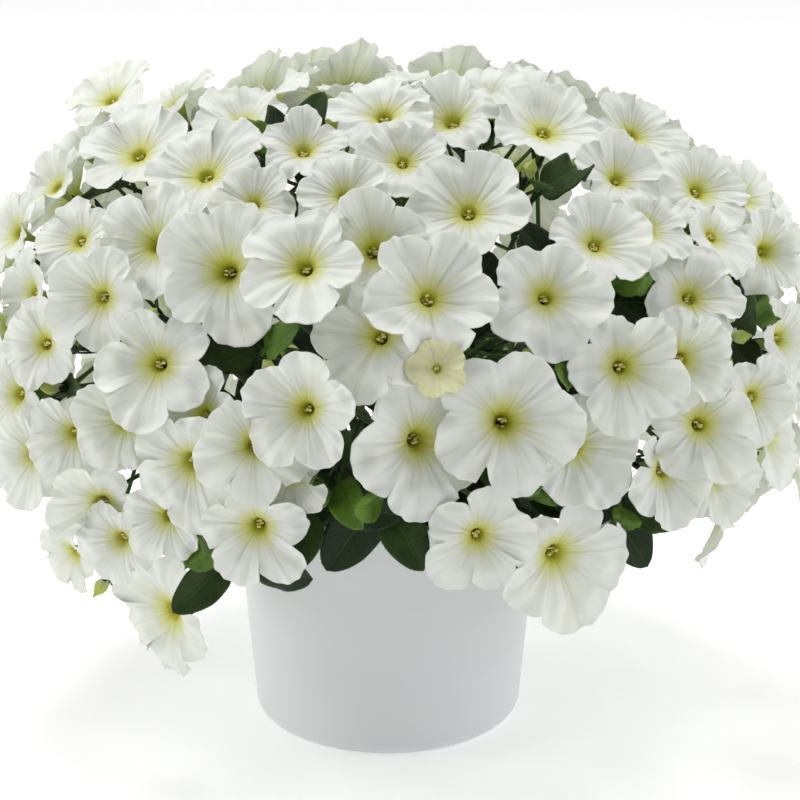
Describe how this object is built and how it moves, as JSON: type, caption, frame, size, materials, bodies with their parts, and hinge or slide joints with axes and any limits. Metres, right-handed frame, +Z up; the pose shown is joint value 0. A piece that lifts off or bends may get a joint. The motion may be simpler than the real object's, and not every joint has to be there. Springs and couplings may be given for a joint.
{
  "type": "potted white petunia in bloom",
  "caption": "Rounded mound of white petunia blooms, leaves and buds on arching stems, rooted in soil in a plain round tapered white pot that stands on its flat base.",
  "frame": {"origin": "centre of the pot's flat base, on the surface it stands on", "axes": "+Z up along the pot's axis, -Y towards the viewer of the picture, +X to that viewer's right"},
  "size_m": [0.5255, 0.5296, 0.4016],
  "materials": {
    "pot": "satin",
    "soil": "matte",
    "foliage": "satin",
    "petals": "matte"
  },
  "bodies": {
    "root": {"pot": "pot", "soil": "soil", "leafy_stem_01": "foliage", "bloom_spray_01": "petals", "leafy_stem_02": "foliage", "bloom_spray_02": "petals", "leafy_stem_03": "foliage", "bloom_spray_03": "petals", "leafy_stem_04": "foliage", "bloom_spray_04": "petals", "leafy_stem_05": "foliage", "bloom_spray_05": "petals", "leafy_stem_06": "foliage", "bloom_spray_06": "petals", "leafy_stem_07": "foliage", "bloom_spray_07": "petals", "leafy_stem_08": "foliage", "bloom_spray_08": "petals", "leafy_stem_09": "foliage", "bloom_spray_09": "petals", "leafy_stem_10": "foliage", "bloom_spray_10": "petals", "leafy_stem_11": "foliage", "bloom_spray_11": "petals", "leafy_stem_12": "foliage", "bloom_spray_12": "petals", "leafy_stem_13": "foliage", "bloom_spray_13": "petals", "leafy_stem_14": "foliage", "bloom_spray_14": "petals", "leafy_stem_15": "foliage", "bloom_spray_15": "petals", "leafy_stem_16": "foliage", "bloom_spray_16": "petals", "leafy_stem_17": "foliage", "bloom_spray_17": "petals", "leafy_stem_18": "foliage", "bloom_spray_18": "petals", "leafy_stem_19": "foliage", "bloom_spray_19": "petals", "leafy_stem_20": "foliage", "bloom_spray_20": "petals", "leafy_stem_21": "foliage", "bloom_spray_21": "petals", "leafy_stem_22": "foliage", "bloom_spray_22": "petals", "leafy_stem_23": "foliage", "bloom_spray_23": "petals", "leafy_stem_24": "foliage", "bloom_spray_24": "petals", "leafy_stem_25": "foliage", "bloom_spray_25": "petals", "leafy_stem_26": "foliage", "bloom_spray_26": "petals", "leafy_stem_27": "foliage", "bloom_spray_27": "petals"}
  },
  "joints": []
}
